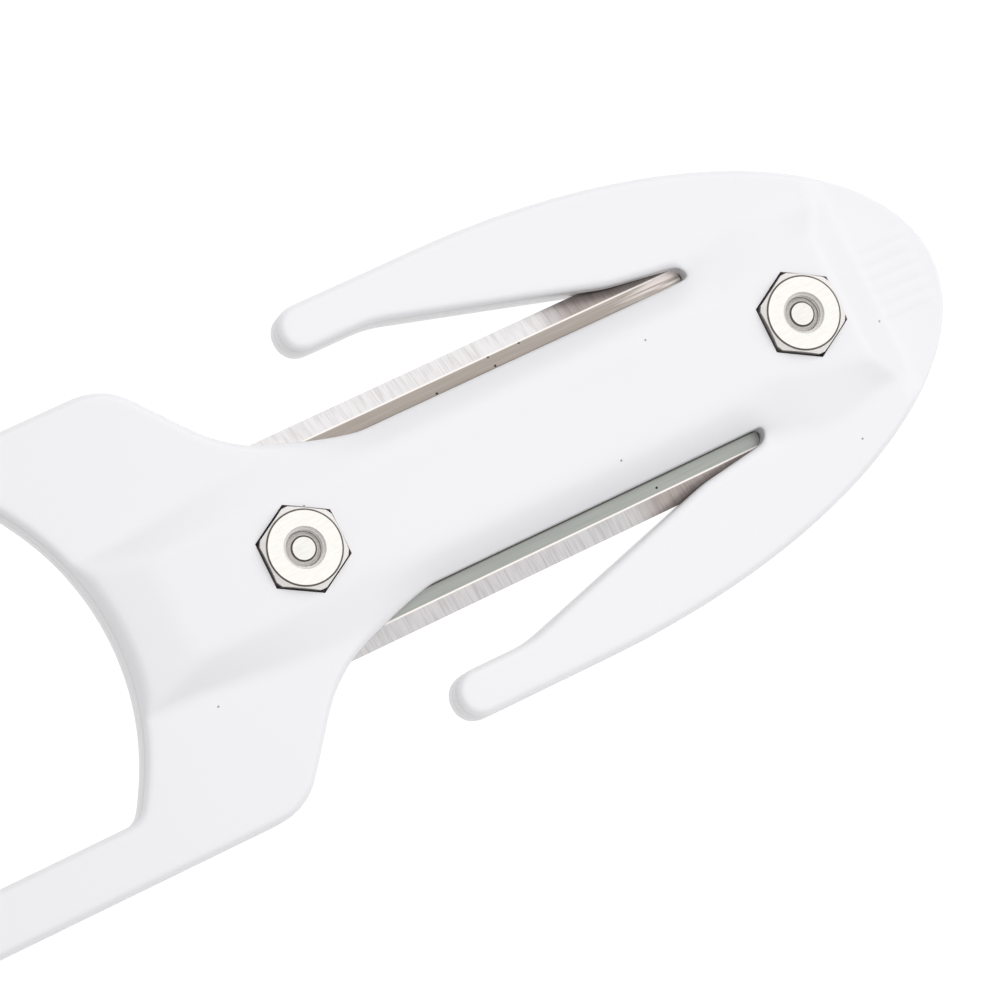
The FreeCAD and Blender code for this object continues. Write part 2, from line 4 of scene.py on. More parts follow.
import bmesh
import bpy
import numpy as np
from mathutils import Matrix, Vector
from mathutils.bvhtree import BVHTree
from mathutils.geometry import delaunay_2d_cdt


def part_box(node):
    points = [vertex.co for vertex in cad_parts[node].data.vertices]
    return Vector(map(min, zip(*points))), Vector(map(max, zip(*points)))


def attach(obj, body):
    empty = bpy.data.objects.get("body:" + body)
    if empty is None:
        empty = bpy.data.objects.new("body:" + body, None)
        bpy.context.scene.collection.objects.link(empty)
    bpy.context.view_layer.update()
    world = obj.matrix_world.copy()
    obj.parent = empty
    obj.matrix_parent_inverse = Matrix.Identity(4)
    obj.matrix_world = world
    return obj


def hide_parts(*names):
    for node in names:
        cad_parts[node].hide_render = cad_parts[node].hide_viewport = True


MM = 0.001

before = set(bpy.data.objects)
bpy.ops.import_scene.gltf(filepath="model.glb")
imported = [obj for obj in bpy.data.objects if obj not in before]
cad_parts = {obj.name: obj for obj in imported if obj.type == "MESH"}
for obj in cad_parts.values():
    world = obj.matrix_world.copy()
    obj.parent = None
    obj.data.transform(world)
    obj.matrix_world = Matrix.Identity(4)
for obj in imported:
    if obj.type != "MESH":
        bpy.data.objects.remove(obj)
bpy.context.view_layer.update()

# Lengths and levels below are in mm unless they say otherwise.
# Places from the frame; the two shells meet at the parting level
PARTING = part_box("nut_side_shell")[0].z / MM
RIDGE_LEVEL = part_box("nut_side_shell")[1].z / MM - PARTING
REAR_NUT = sum(corner.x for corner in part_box("nut_rear")) / 2 / MM
FRONT_NUT = sum(corner.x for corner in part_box("nut_front")) / 2 / MM
NUT_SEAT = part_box("nut_front")[0].z / MM
NUT_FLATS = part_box("nut_front")[1].x / MM - FRONT_NUT

# The camera: the point it looks at, the way it looks and the top of its picture, in metres
CAMERA_AIM = Vector((25.0, -2.53, 2.95)) * MM
CAMERA_LOOK = Vector((0.2724, 0.0565, -0.9605)).normalized()
CAMERA_TOP = Vector((0.4117, 0.8954, 0.1694)).normalized()
CAMERA_DISTANCE = 345.4 * MM
CAMERA_LENS = 180.7
CAMERA_SENSOR = 36.0
CAMERA_REACH = 20.0
# The floor, in metres, with its own grey and glow
FLOOR_SIZE = 3.0
FLOOR_DROP = 0.3 * MM
FLOOR_COLOUR = (0.12, 0.12, 0.12, 1)
FLOOR_ROUGHNESS = 0.9
FLOOR_GLOW = 0.95
WHITE = (1, 1, 1, 1)
# The soft light overhead: its way, its edge and core as cosines, and two strengths
SOFTBOX_WAY = Vector((0.3, 0.1, 0.95)).normalized()
SOFTBOX_EDGE = 0.56
SOFTBOX_CORE = 0.76
SOFTBOX_LIGHT = 1.5
ROOM_LIGHT = 0.36

# Levels of a shell above the parting level; the outlines come from a section at SECTION_LEVEL
PLATE_LEVEL = 1.7
NOSE_LEVEL = 1.25
MOUTH_LEVEL = 1.3
SECTION_LEVEL = 0.38
# The seam between the two shells
SEAM_HEIGHT = 0.1
SEAM_DEPTH = 0.09
# Half the ridge's width at its foot and at its flat top. Each change is an amount and the two
# places, counted from the rear nut, between which it comes in
FOOT_HALF_WIDTH = 6.9
FOOT_CHANGES = ((-1.1, 0, -14), (-1.05, 1, 9), (2.0, 31, 38.5), (-0.9, 39, 43.5))
TOP_HALF_WIDTH = 3.5
TOP_CHANGES = ((-0.9, -4, 9), (1.9, 31, 44))
# The ridge's tail and crest, counted from the rear nut
RIDGE_TAIL = -15.6
RIDGE_TAIL_TOP = -9.8
CREST = 42.7
CREST_SLOPE = 0.654
# How round the ridge's flanks are, and by how much more beside the mouths; 1 is flat
FLANK_ROLL = 1.05
MOUTH_ROLL = 0.95
# How softly the ridge's faces meet
FOOT_SOFTNESS = 0.12
TOP_SOFTNESS = 0.15
TAIL_SOFTNESS = 0.3
CREST_SOFTNESS = 0.35
# The mouths on both sides of the neck, counted from the rear nut
NECK_START = 1.0
NECK_END = 9.0
MOUTH_FADE = 31.3
MOUTH_END = 35.3
# Where the lower level of the mouths ends, counted from the ridge's foot
MOUTH_OUTER = 1.6
MOUTH_INNER = 0.2
# Grip ribs on the nose, and how softly they end
RIB_PITCH = 1.0
RIB_HEIGHT = 0.09
RIB_REACH = 2.9
RIB_REACH_FADE = 0.3
RIBS_START = 45.3
RIBS_START_FADE = 0.8
RIBS_END = 49.9
RIBS_END_FADE = 1.0
# The rounded rims, which stay above RIM_FOOT and are sharper near the blade
OUTER_RIM = 0.6
LOOP_RIM = 1.0
LANYARD_RIM = 0.3
LEAST_RIM = 0.02
RIM_FOOT = 1.1
SHARP_SHARE = 0.75
SHARP_SIDES = 7.4, 6.4
SHARP_END = MOUTH_END + 6, MOUTH_END + 2
# Room for the blade, the screws and the nuts inside the shells
BLADE_ROOM = 0.15
BLADE_ROOM_ABOVE = 0.01
BLADE_CUT_FOOT = -1.0
HOLE_RADIUS = 1.65
HOLE_SIDES = 48
CUT_FOOT = -2.0
CUT_TOP = 8.0
NUT_ROOM = 0.13
NUT_ROOM_BELOW = 0.01
NUT_SIDES = 6
# The countersink of a screw's head, a right-angled cone
SINK_DEPTH = 1.5
SINK_RADIUS = 1.5
SINK_ABOVE = 0.5
SINK_SIDES = 64
# Spacing and clean-up of the mesh
OUTLINE_STEP = 0.3
OUTLINE_SMOOTHINGS = 2
SURFACE_STEP = 0.42
RIB_STEP = 0.16
RIB_MARGIN = 0.5
RIM_STEPS = 5
RIM_MARGIN = 0.12
RING_CLEARANCE = 0.93
WELD = 0.002
SECTION_WELD = MM / 1000
TRIANGLE_TOLERANCE = 1e-6
SHARP_ANGLE = math.radians(40)

# Colours are linear. A grain counts noise cells per mm along each axis. A pair of values is
# where a change starts and ends, a pair of roughnesses, or a dark and a bright tone
# The plastic; its specks have a spacing, a radius and a share of cells
PLASTIC_TONES = (0.9, 0.897, 0.92), (0.92, 0.918, 0.938)
FLOW_GRAIN = (0.04, 0.12, 0.2)
FLOW_RANGE = 0.2, 0.8
PLASTIC_ROUGHNESS = 0.285, 0.33
# A darker tone towards the finger loop's end
LOOP_END_TONE = (0.8, 0.795, 0.815)
LOOP_END_RAMP = 30, -35
LOOP_END_SHARE = 0.6
# Painted shade: upright walls are painted greyer than level faces
WALL_SHADE_TONE = (0.74, 0.735, 0.745)
WALL_STEEPNESS = 0.5, 0.2
PLASTIC_SPECKS = 5.5, 0.075, 0.13
PLASTIC_SPECK_TONE = (0.33, 0.32, 0.32)
SPECK_EDGE = 1.3, 0.7
SPECK_RELIEF = 2.0
PEEL_GRAIN = 0.7
PLASTIC_RELIEF = 0.003
PLASTIC_SPECULAR = 0.5
# The blade's bevels, painted lighter on the left than on the right, and dark over a length behind the
# blade's front end
BEVEL_WIDTH = 1.3
BEVEL_EDGE = 0.03
DARK_LENGTH = 22.8
DARK_FADE = 3.5
LIT_LEFT_BEVEL = (0.49, 0.47, 0.47), (0.61, 0.595, 0.6)
SHADED_RIGHT_BEVEL = (0.36, 0.35, 0.35), (0.47, 0.455, 0.46)
DARK_BEVEL = (0.25, 0.215, 0.205), (0.32, 0.285, 0.27)
SIDE_CHANGE = -0.5, 0.5
# Grinding marks across the bevels
MARK_SLANT = 0.12
FINE_GRAIN = (9.0, 0.3, 1)
COARSE_GRAIN = (2.2, 0.5, 1)
FINE_SHARE = 0.6
COARSE_SHARE = 0.4
MARK_RANGE = 0.32, 0.58
# The blade's flats, brownish on the left and greenish on the right
STREAK_GRAIN = (0.25, 6.0, 1)
LEFT_FLAT = (0.25, 0.22, 0.19), (0.36, 0.325, 0.3)
RIGHT_FLAT = (0.25, 0.262, 0.245), (0.33, 0.342, 0.322)
RUBBED_TONE = (0.6, 0.54, 0.52)
RUBBED_RANGE = 0.35, 0.6
RUBBED_START = 4
RUBBED_END = 10
FLAT_SPECKS = 2.2, 0.09, 0.3
FLAT_SPECK_TONE = (0.03, 0.03, 0.03)
# Painted shade where the flats go in under the shells: beside the spine and ahead of the slots' ends
UNDER_SHELL_SHADE = (0.06, 0.055, 0.05)
SPINE_HALF_WIDTH = 5.75
SHADE_BESIDE = SPINE_HALF_WIDTH + 0.16, SPINE_HALF_WIDTH + 0.03
SLOT_SETBACK = 5.8
SHADE_AHEAD = FRONT_NUT - SLOT_SETBACK - 0.2, FRONT_NUT - SLOT_SETBACK - 0.08
# A painted highlight: the bright line between a flat and a bevel
BORDER_HIGHLIGHT = (0.72, 0.68, 0.65)
BORDER_WIDTH = 0.09, 0.03
BLADE_ROUGHNESS = 0.36, 0.3
STREAK_RELIEF = 0.4
BLADE_RELIEF = 0.006
# The screws and nuts; a nut's bright face lies between its bore and its chamfer. Painted shade goes
# round the face and on the upright sides, painted highlights on the bore and corners
NUT_FACE = 2.57
NUT_BORE = 1.48
NUT_SHINE = 1.0
SCREW_FACE = 0.8
SCREW_BORE = 0.0
SCREW_SHINE = 0.95
STEEL_GRAIN = (1.2, 5.0, 2.0)
BRIGHT_STEEL = (0.6, 0.585, 0.555), (0.76, 0.745, 0.71)
SHADE_STEEL = (0.1, 0.085, 0.075), (0.2, 0.17, 0.15)
HIGHLIGHT_STEEL = (0.93, 0.905, 0.88)
HIGHLIGHT_METALLIC = 0.3
HIGHLIGHT_ROUGHNESS = 0.2
LINE_OFFSET = 0.05
LINE_EDGE = 0.08, 0.04
BORE_FADE = 0.04
CORNER_FADE = 0.08
UPPER_FADE = 0.2
SIDE_STEEPNESS = 0.4, 0.2
SIDE_SHARE = 0.75
SCRATCH_RANGE = 0.3, 0.7
STEEL_ROUGHNESS = 0.285, 0.34
STEEL_RELIEF = 0.003


def soft_step(value, start, end):
    """A smooth climb from 0 at the start to 1 at the end, which may lie below the start."""
    share = np.clip((value - start) / (end - start), 0, 1)
    return share * share * (3 - 2 * share)


def soft_min(one, other, width):
    """The lower of two heights, with a rounded corner where they meet."""
    mix = np.clip(0.5 + (other - one) / (2 * width), 0, 1)
    return other * (1 - mix) + one * mix - width * mix * (1 - mix)


def soft_max(one, other, width):
    """The higher of two heights, with a rounded corner where they meet."""
    return -soft_min(-one, -other, width)


def half_width(along, start, changes):
    """Half the ridge's width, which swells over the shoulder and the head."""
    return start + sum(amount * soft_step(along, low, high) for amount, low, high in changes)


def in_mouths(along, past_foot):
    """1 beside the ridge where the two mouths are, 0 elsewhere."""
    over_length = soft_step(along, NECK_START, NECK_END) * soft_step(along, MOUTH_END, MOUTH_FADE)
    return over_length * soft_step(past_foot, MOUTH_OUTER, MOUTH_INNER)


def ridge_height(along, side, mouths):
    """The ridge's height; side runs from 0 at its foot to 1 at its flat top."""
    tail = (along - RIDGE_TAIL) / (RIDGE_TAIL_TOP - RIDGE_TAIL)
    climb = soft_min(side, tail, TAIL_SOFTNESS)
    base = PLATE_LEVEL + (MOUTH_LEVEL - PLATE_LEVEL) * mouths
    roll = FLANK_ROLL + MOUTH_ROLL * mouths
    rise = np.where(climb > 0, 1 - np.clip(1 - climb, 0, 1) ** roll, roll * climb)
    ridge = soft_max(base, base + (RIDGE_LEVEL - base) * rise, FOOT_SOFTNESS)
    return soft_min(ridge, RIDGE_LEVEL, TOP_SOFTNESS)


def rib_height(along, y):
    """The height of the grip ribs above the nose."""
    wave = 0.5 - 0.5 * np.cos(2 * math.pi * (y / RIB_PITCH))
    window = soft_step(along, RIBS_START, RIBS_START + RIBS_START_FADE)
    window = window * soft_step(along, RIBS_END, RIBS_END - RIBS_END_FADE)
    window = window * soft_step(np.abs(y), RIB_REACH + RIB_REACH_FADE, RIB_REACH)
    return RIB_HEIGHT * wave * window


def form_height(x, y):
    """The height of a shell's outer face above the parting level, before its rims."""
    along = x - REAR_NUT
    across = np.abs(y)
    foot = half_width(along, FOOT_HALF_WIDTH, FOOT_CHANGES)
    top = half_width(along, TOP_HALF_WIDTH, TOP_CHANGES)
    side = (foot - across) / (foot - top)
    ridge = ridge_height(along, side, in_mouths(along, across - foot))
    slope = RIDGE_LEVEL - CREST_SLOPE * (along - CREST)
    nose = soft_max(slope, NOSE_LEVEL, CREST_SOFTNESS)
    return soft_min(ridge, nose, CREST_SOFTNESS) + rib_height(along, y)


def section_loops(node, level):
    """The closed outlines, in mm, where a level plane cuts a CAD node."""
    mesh = bmesh.new()
    mesh.from_mesh(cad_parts[node].data)
    bmesh.ops.remove_doubles(mesh, verts=mesh.verts, dist=SECTION_WELD)
    result = bmesh.ops.bisect_plane(mesh, geom=mesh.verts[:] + mesh.edges[:] + mesh.faces[:],
                                    plane_co=(0, 0, level * MM), plane_no=(0, 0, 1))
    edges = [item for item in result["geom_cut"] if isinstance(item, bmesh.types.BMEdge)]
    neighbours = {}
    for edge in edges:
        for vertex in edge.verts:
            neighbours.setdefault(vertex, []).append(edge.other_vert(vertex))
    loops = []
    while neighbours:
        vertex = next(iter(neighbours))
        loop = []
        while vertex is not None:
            loop.append((vertex.co.x / MM, vertex.co.y / MM))
            beside = neighbours.pop(vertex)
            vertex = next((other for other in beside if other in neighbours), None)
        loops.append(np.array(loop))
    mesh.free()
    return sorted(loops, key=lambda loop: -np.ptp(loop[:, 0]))


def area(loop):
    """The signed area of a closed outline."""
    after = np.roll(loop, -1, axis=0)
    return 0.5 * np.sum(loop[:, 0] * after[:, 1] - loop[:, 1] * after[:, 0])


def even(loop, solid_inside):
    """An outline with evenly spaced points, its solid on the left of its travel."""
    if (area(loop) > 0) != solid_inside:
        loop = loop[::-1]
    closed = np.vstack([loop, loop[:1]])
    travel = np.concatenate([[0], np.cumsum(np.hypot(*np.diff(closed, axis=0).T))])
    count = int(travel[-1] / OUTLINE_STEP)
    places = np.arange(count) * travel[-1] / count
    points = np.column_stack([np.interp(places, travel, closed[:, axis]) for axis in (0, 1)])
    for _ in range(OUTLINE_SMOOTHINGS):
        points = 0.5 * points + 0.25 * (np.roll(points, 1, axis=0) + np.roll(points, -1, axis=0))
    return points


def into_solid(loop):
    """The unit directions from an outline's points into the solid."""
    run = np.roll(loop, -1, axis=0) - np.roll(loop, 1, axis=0)
    side = np.column_stack([-run[:, 1], run[:, 0]])
    return side / np.hypot(*side.T)[:, None]


def wall_tree(loop):
    """A search tree over the upright wall along an outline."""
    count = len(loop)
    points = [(x, y, z) for z in (-1, 1) for x, y in loop]
    faces = [(i, (i + 1) % count, (i + 1) % count + count, i + count) for i in range(count)]
    return BVHTree.FromPolygons(points, faces)


def distances(tree, points):
    """How far each point lies from the outline of a tree."""
    return np.array([tree.find_nearest((x, y, 0))[3] for x, y in points])


def inside(points, loops):
    """Which points lie in the solid between the outlines, by the even-odd rule."""
    result = np.zeros(len(points), bool)
    for loop in loops:
        after = np.roll(loop, -1, axis=0)
        for (x1, y1), (x2, y2) in zip(loop, after):
            crosses = (y1 > points[:, 1]) != (y2 > points[:, 1])
            if y1 != y2:
                place = x1 + (points[:, 1] - y1) * (x2 - x1) / (y2 - y1)
                result ^= crosses & (points[:, 0] < place)
    return result


def grid(low, high, step):
    """A staggered grid of points over a rectangle."""
    rows = np.arange(low[1], high[1], step)
    columns = np.arange(low[0], high[0], step)
    x, y = np.meshgrid(columns, rows)
    x[1::2] += step / 2
    return np.column_stack([x.ravel(), y.ravel()])


def triangulate(points, loops, corners):
    """Triangles over the solid; the outlines' corners index the points."""
    edges = [(ring[i], ring[(i + 1) % len(ring)]) for ring in corners for i in range(len(ring))]
    found = delaunay_2d_cdt([Vector(point) for point in points], edges, [], 0, TRIANGLE_TOLERANCE)
    places = np.array([tuple(vertex) for vertex in found[0]])
    index = {source: number for number, sources in enumerate(found[3]) for source in sources}
    faces = np.array(found[2])
    middles = places[faces].mean(axis=1)
    return places, faces[inside(middles, loops)], index


class Outline:
    """One closed outline of a shell with the radius of its rim."""

    def __init__(self, loop, solid_inside, rim):
        self.points = even(loop, solid_inside)
        self.rim = rim
        self.tree = wall_tree(self.points)
        self.inward = into_solid(self.points)


def shell_outlines():
    """The outer outline, the finger loop's opening and the lanyard hole."""
    loops = section_loops("nut_side_shell", PARTING + SECTION_LEVEL)
    outer, opening = loops[:2]
    lanyard = min(loops[2:], key=lambda loop: loop[:, 0].min())
    return [
        Outline(outer, True, OUTER_RIM),
        Outline(opening, False, LOOP_RIM),
        Outline(lanyard, False, LANYARD_RIM),
    ]


def rim_radius(x, y, height, rim):
    """The radius of a rim, which is sharper where the blade shows beside it."""
    along = x - REAR_NUT
    near_blade = soft_step(np.abs(y), *SHARP_SIDES) * soft_step(along, NECK_START, NECK_END)
    near_blade = near_blade * soft_step(along, *SHARP_END)
    return np.clip(height - RIM_FOOT, LEAST_RIM, rim * (1 - SHARP_SHARE * near_blade))


def rim_drop(x, y, height, outlines):
    """How far the rounded rims lower the face near the outlines."""
    drop = np.zeros(len(x))
    points = np.column_stack([x, y])
    for outline in outlines:
        near = distances(outline.tree, points)
        radius = rim_radius(x, y, height, outline.rim)
        gap = np.clip(radius - near, 0, None)
        drop = np.maximum(drop, radius - np.sqrt(np.clip(radius ** 2 - gap ** 2, 0, None)))
    return drop


def face_points(outlines):
    """Points over a shell's face: outlines, rings round their rims and a grid."""
    loops = [outline.points for outline in outlines]
    points = list(loops)
    for outline in outlines:
        for step in range(1, RIM_STEPS + 1):
            reach = outline.rim * (1 - math.cos(step / RIM_STEPS * math.pi / 2))
            ring = outline.points + reach * outline.inward
            least = RING_CLEARANCE * reach
            clear = np.all([distances(other.tree, ring) > least for other in outlines], axis=0)
            points.append(ring[clear])
    low, high = loops[0].min(axis=0), loops[0].max(axis=0)
    ribs_low = (REAR_NUT + RIBS_START, -RIB_REACH - RIB_MARGIN)
    ribs_high = (REAR_NUT + RIBS_END, RIB_REACH + RIB_MARGIN)
    fine = grid(ribs_low, ribs_high, RIB_STEP)
    coarse = grid(low, high, SURFACE_STEP)
    in_ribs = np.all((coarse > ribs_low) & (coarse < ribs_high), axis=1)
    for filling in (fine, coarse[~in_ribs]):
        filling = filling[inside(filling, loops)]
        clear = np.all([distances(outline.tree, filling) > outline.rim + RIM_MARGIN
                        for outline in outlines], axis=0)
        points.append(filling[clear])
    return np.vstack(points)


def shell_form(outlines):
    """A shell's closed mesh, its parting face at zero, in mm."""
    loops = [outline.points for outline in outlines]
    starts = np.cumsum([0] + [len(loop) for loop in loops])
    corners = [list(range(starts[i], starts[i + 1])) for i in range(len(loops))]
    places, faces, index = triangulate(face_points(outlines), loops, corners)
    x, y = places.T
    height = form_height(x, y)
    height -= rim_drop(x, y, height, outlines)
    vertices = [tuple(row) for row in np.column_stack([x, y, height])]
    polygons = [tuple(face) for face in faces]
    under = [outline.points + SEAM_DEPTH * outline.inward for outline in outlines]
    seam_start = len(vertices)
    vertices += [(px, py, SEAM_HEIGHT) for loop in loops for px, py in loop]
    under_start = len(vertices)
    flat, flat_faces, flat_index = triangulate(np.vstack(under), under, corners)
    vertices += [(px, py, 0.0) for px, py in flat]
    polygons += [tuple(under_start + face[::-1]) for face in flat_faces]
    for ring in corners:
        for i, here in enumerate(ring):
            there = ring[(i + 1) % len(ring)]
            polygons.append((index[there], index[here], seam_start + here, seam_start + there))
            polygons.append((seam_start + there, seam_start + here,
                             under_start + flat_index[here], under_start + flat_index[there]))
    return vertices, polygons


def new_object(name, vertices, polygons):
    """A new mesh object in the scene."""
    mesh = bpy.data.meshes.new(name)
    mesh.from_pydata(vertices, [], polygons)
    mesh.validate()
    piece = bpy.data.objects.new(name, mesh)
    bpy.context.scene.collection.objects.link(piece)
    return piece


def prism(name, place, sides, low, high, turn=0.0):
    """A closed upright prism or cone, from (level, radius) to (level, radius), in mm."""
    angles = [turn + 2 * math.pi * i / sides for i in range(sides)]
    vertices = [(place + radius * math.cos(angle), radius * math.sin(angle), level)
                for level, radius in (low, high) for angle in angles]
    polygons = [tuple(range(sides - 1, -1, -1)), tuple(range(sides, 2 * sides))]
    polygons += [(i, (i + 1) % sides, (i + 1) % sides + sides, i + sides) for i in range(sides)]
    return new_object(name, vertices, polygons)


def block(name, low, high):
    """A closed box between two corners, in mm."""
    piece = new_object(name, [], [])
    mesh = bmesh.new()
    bmesh.ops.create_cube(mesh, size=1.0)
    for vertex in mesh.verts:
        vertex.co = [(start + end) / 2 + place * (end - start)
                     for start, end, place in zip(low, high, vertex.co)]
    mesh.to_mesh(piece.data)
    mesh.free()
    return piece


def carve(piece, cutters):
    """Takes closed cutters out of a piece and removes them."""
    for cutter in cutters:
        step = piece.modifiers.new(cutter.name, "BOOLEAN")
        step.operation = "DIFFERENCE"
        step.solver = "EXACT"
        step.object = cutter
    graph = bpy.context.evaluated_depsgraph_get()
    result = bpy.data.meshes.new_from_object(piece.evaluated_get(graph))
    piece.modifiers.clear()
    mesh = bmesh.new()
    mesh.from_mesh(result)
    bmesh.ops.remove_doubles(mesh, verts=mesh.verts, dist=WELD)
    bmesh.ops.dissolve_degenerate(mesh, edges=mesh.edges, dist=WELD)
    mesh.to_mesh(result)
    mesh.free()
    piece.data = result
    for cutter in cutters:
        bpy.data.objects.remove(cutter)


def holes(name, seat):
    """The cutters of one shell; seat makes the room for a nut or for a screw's head."""
    low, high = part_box("blade")
    blade_top = (high.z - low.z) / 2 / MM + BLADE_ROOM_ABOVE
    cutters = [block(f"{name}_blade_pocket",
                     (low.x / MM - BLADE_ROOM, low.y / MM - BLADE_ROOM, BLADE_CUT_FOOT),
                     (high.x / MM + BLADE_ROOM, high.y / MM + BLADE_ROOM, blade_top))]
    for end, place in (("front", FRONT_NUT), ("rear", REAR_NUT)):
        cutters.append(prism(f"{name}_{end}_hole", place, HOLE_SIDES,
                             (CUT_FOOT, HOLE_RADIUS), (CUT_TOP, HOLE_RADIUS)))
        cutters.append(seat(f"{name}_{end}_seat", place))
    return cutters


def nut_pocket(name, place):
    """A hexagon pocket with a little room round the nut."""
    half_corner = math.pi / NUT_SIDES
    radius = (NUT_FLATS + NUT_ROOM) / math.cos(half_corner)
    foot = NUT_SEAT - PARTING - NUT_ROOM_BELOW
    return prism(name, place, NUT_SIDES, (foot, radius), (CUT_TOP, radius), half_corner)


def screw_sink(name, place):
    """A countersink for a screw's head."""
    top_radius = SINK_RADIUS + SINK_DEPTH + SINK_ABOVE
    return prism(name, place, SINK_SIDES,
                 (RIDGE_LEVEL - SINK_DEPTH, SINK_RADIUS), (RIDGE_LEVEL + SINK_ABOVE, top_radius))


def shell(name, node, form, side, seat):
    """One shell as a smooth mesh that stands for its CAD node; side is -1 for the lower one."""
    piece = new_object(name, *form)
    carve(piece, holes(name, seat))
    mesh = piece.data
    mesh.transform(Matrix.Diagonal((MM, MM, MM * side, 1)))
    mesh.transform(Matrix.Translation((0, 0, PARTING * MM)))
    if side < 0:
        mesh.flip_normals()
    mesh.polygons.foreach_set("use_smooth", [True] * len(mesh.polygons))
    mesh.set_sharp_from_angle(angle=SHARP_ANGLE)
    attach(piece, "root")
    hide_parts(node)
    return piece


class Material:
    """A material being built: its node tree, and the Principled shader in it."""

    def __init__(self, name):
        self.material = bpy.data.materials.new(name)
        self.material.use_nodes = True
        self.tree = self.material.node_tree
        self.shader = self.tree.nodes["Principled BSDF"]

    def add(self, kind, links=None, values=None, **settings):
        """A node with its inputs linked or set, by name or number."""
        node = self.tree.nodes.new(f"ShaderNode{kind}")
        for setting, value in settings.items():
            setattr(node, setting, value)
        for key, value in (values or {}).items():
            node.inputs[key].default_value = value
        for key, output in (links or {}).items():
            self.tree.links.new(output, node.inputs[key])
        return node

    def feed(self, socket, output):
        """Links an output to the shader."""
        self.tree.links.new(output, self.shader.inputs[socket])

    def fix(self, **values):
        """Sets values on the shader's own sockets."""
        for key, value in values.items():
            self.shader.inputs[key.replace("_", " ")].default_value = value

    def stretched(self, where, scale):
        """Positions stretched along the axes."""
        return self.add("VectorMath", {0: where}, {1: scale}, operation="MULTIPLY").outputs[0]

    def places(self):
        """Positions on the object, in mm."""
        return self.stretched(self.add("TexCoord").outputs["Object"], (1 / MM,) * 3)

    def parts(self, vector):
        """The three parts of a vector."""
        return self.add("SeparateXYZ", {0: vector}).outputs

    def levelness(self):
        """1 where the surface is level, 0 where it is upright."""
        normal = self.add("NewGeometry").outputs["True Normal"]
        return self.math("ABSOLUTE", self.parts(normal)[2])

    def math(self, operation, one, other=None):
        """One step of arithmetic on outputs or numbers."""
        node = self.add("Math", operation=operation)
        for key, value in enumerate((one, other)):
            if isinstance(value, (int, float)):
                node.inputs[key].default_value = value
            elif value is not None:
                self.tree.links.new(value, node.inputs[key])
        return node.outputs[0]

    def ramp(self, value, low, high, start=0.0, end=1.0):
        """A smooth climb from start to end as a value goes from low to high."""
        node = self.add("MapRange", {0: value}, {1: low, 2: high, 3: start, 4: end},
                        interpolation_type="SMOOTHSTEP")
        return node.outputs[0]

    def noise(self, where, scale, detail):
        """Noise with a scale in cells per mm."""
        return self.add("TexNoise", {"Vector": where}, {"Scale": scale, "Detail": detail}).outputs[0]

    def grain(self, where, stretch, detail=2.0):
        """Noise that is drawn out along the axes."""
        return self.noise(self.stretched(where, stretch), 1.0, detail)

    def blend(self, share, one, other):
        """A colour between two, each an output or a triple."""
        node = self.add("Mix", {0: share}, data_type="RGBA")
        for key, colour in ((6, one), (7, other)):
            if isinstance(colour, tuple):
                node.inputs[key].default_value = (*colour, 1)
            else:
                self.tree.links.new(colour, node.inputs[key])
        return node.outputs[2]

    def bump(self, height, depth):
        """Relief of a depth in mm."""
        node = self.add("Bump", {"Height": height}, {"Distance": depth * MM, "Strength": 1.0})
        self.feed("Normal", node.outputs[0])


def specks(paint, where, spacing, radius, share):
    """Rare round specks, seen from above: 1 on a speck, 0 elsewhere."""
    cells = paint.add("TexVoronoi", {"Vector": where}, {"Scale": 1 / spacing},
                      voronoi_dimensions="2D")
    chosen = paint.add("SeparateColor", {0: cells.outputs["Color"]}).outputs[0]
    edges = [edge * radius / spacing for edge in SPECK_EDGE]
    near = paint.ramp(cells.outputs["Distance"], *edges)
    return paint.math("MULTIPLY", near, paint.math("LESS_THAN", chosen, share))


def plastic():
    """Glossy white moulded plastic with faint flow, fine orange peel, a few specks and painted shade
    on its upright walls.
    """
    paint = Material("white_plastic")
    where = paint.places()
    flow = paint.grain(where, FLOW_GRAIN, 1.0)
    tone = paint.blend(flow, *PLASTIC_TONES)
    # The plastic is painted a little darker towards the finger loop's end
    towards_loop_end = paint.ramp(paint.parts(where)[0], *LOOP_END_RAMP, 0.0, LOOP_END_SHARE)
    tone = paint.blend(towards_loop_end, tone, LOOP_END_TONE)
    # Painted shade: the upright walls are painted greyer than the level faces
    on_wall = paint.ramp(paint.levelness(), *WALL_STEEPNESS)
    tone = paint.blend(on_wall, tone, WALL_SHADE_TONE)
    dots = specks(paint, where, *PLASTIC_SPECKS)
    dots = paint.math("MULTIPLY", dots, paint.math("SUBTRACT", 1.0, on_wall))
    paint.feed("Base Color", paint.blend(dots, tone, PLASTIC_SPECK_TONE))
    paint.feed("Roughness", paint.ramp(flow, *FLOW_RANGE, *PLASTIC_ROUGHNESS))
    peel = paint.noise(where, PEEL_GRAIN, 0.0)
    relief = paint.math("ADD", peel, paint.math("MULTIPLY", dots, SPECK_RELIEF))
    paint.bump(relief, PLASTIC_RELIEF)
    paint.fix(Specular_IOR_Level=PLASTIC_SPECULAR)
    return paint.material


def grinding_marks(paint, x, y):
    """Fine marks across the bevels, a little slanted."""
    slanted = paint.math("ADD", x, paint.math("MULTIPLY", y, MARK_SLANT))
    where = paint.add("CombineXYZ", {0: slanted, 1: y}).outputs[0]
    fine = paint.math("MULTIPLY", paint.grain(where, FINE_GRAIN), FINE_SHARE)
    coarse = paint.math("MULTIPLY", paint.grain(where, COARSE_GRAIN), COARSE_SHARE)
    return paint.ramp(paint.math("ADD", coarse, fine), *MARK_RANGE)


